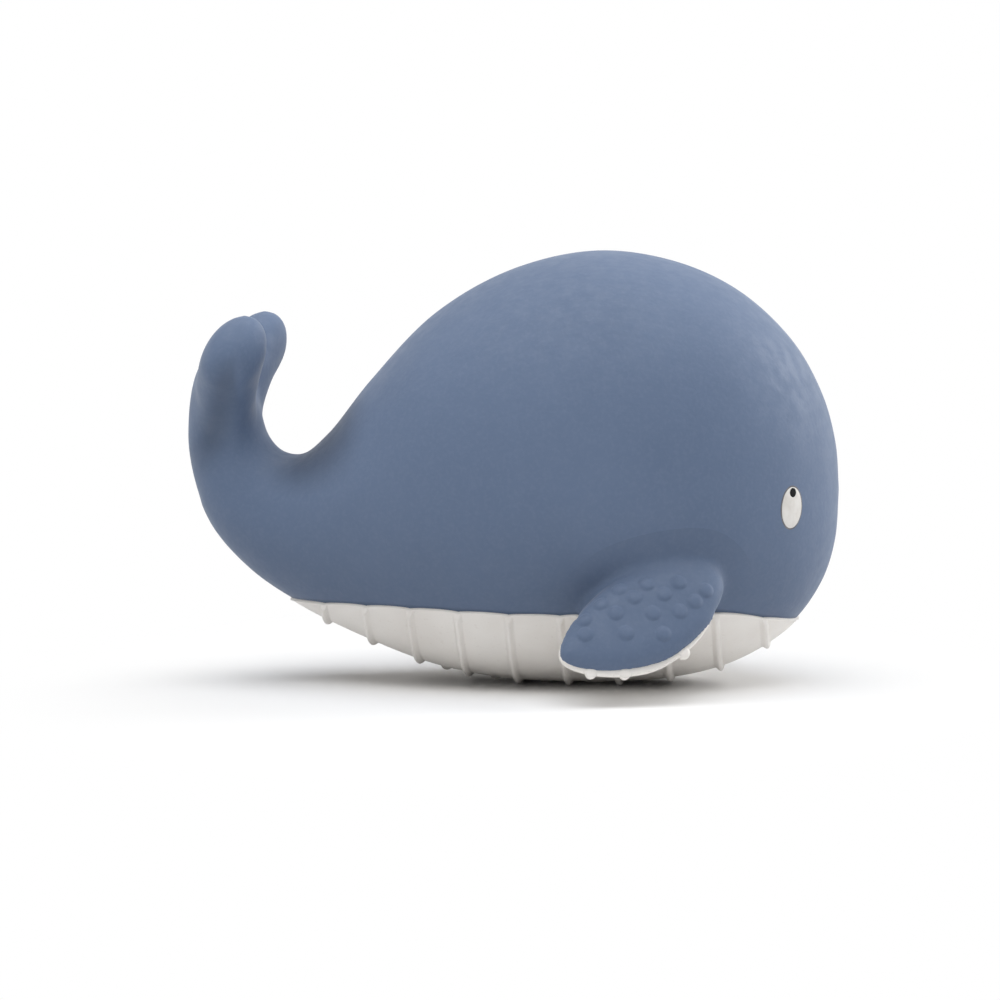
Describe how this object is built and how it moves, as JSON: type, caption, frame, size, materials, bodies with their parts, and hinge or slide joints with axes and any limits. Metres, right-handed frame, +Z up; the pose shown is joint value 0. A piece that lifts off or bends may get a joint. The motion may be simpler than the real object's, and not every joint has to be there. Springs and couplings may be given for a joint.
{
  "type": "whale teething toy",
  "caption": "Chubby rubber whale teether with a ribbed belly, studded chewing fins that flap and an upturned tail that bends.",
  "frame": {"origin": "middle of the toy's length and width, on the floor it rests on", "axes": "+X to the snout, +Y to the whale's left, +Z up"},
  "size_m": [0.11, 0.0802, 0.073],
  "materials": {
    "painted_blue_rubber": "matte, slightly bloomed",
    "bare_cream_rubber": "matte",
    "eye_white": "satin paint",
    "pupil_black": "satin paint"
  },
  "bodies": {
    "body": {"back_shell": "painted_blue_rubber", "belly_shell": "bare_cream_rubber", "pour_hole_plug": "bare_cream_rubber", "right_eye": "eye_white", "left_eye": "eye_white", "right_pupil": "pupil_black", "left_pupil": "pupil_black"},
    "tail": {"tail_flukes": "painted_blue_rubber"},
    "right_fin": {"right_fin_top": "painted_blue_rubber", "right_fin_underside": "bare_cream_rubber"},
    "left_fin": {"left_fin_top": "painted_blue_rubber", "left_fin_underside": "bare_cream_rubber"}
  },
  "joints": [
    {"name": "tail_flex", "type": "hinge", "parent": "body", "child": "tail", "pos_m": [-0.04889, 0, 0.0452], "axis": [0, 1, 0], "range_deg": [-12, 12], "stiffness_Nm_per_rad": 0.15},
    {"name": "right_fin_flex", "type": "hinge", "parent": "body", "child": "right_fin", "pos_m": [0.0263, -0.03019, 0.01809], "axis": [-0.9799, -0.1994, 0], "range_deg": [-15, 20], "stiffness_Nm_per_rad": 0.03},
    {"name": "left_fin_flex", "type": "hinge", "parent": "body", "child": "left_fin", "pos_m": [0.0263, 0.03019, 0.01809], "axis": [0.9799, -0.1994, 0], "range_deg": [-15, 20], "stiffness_Nm_per_rad": 0.03}
  ]
}
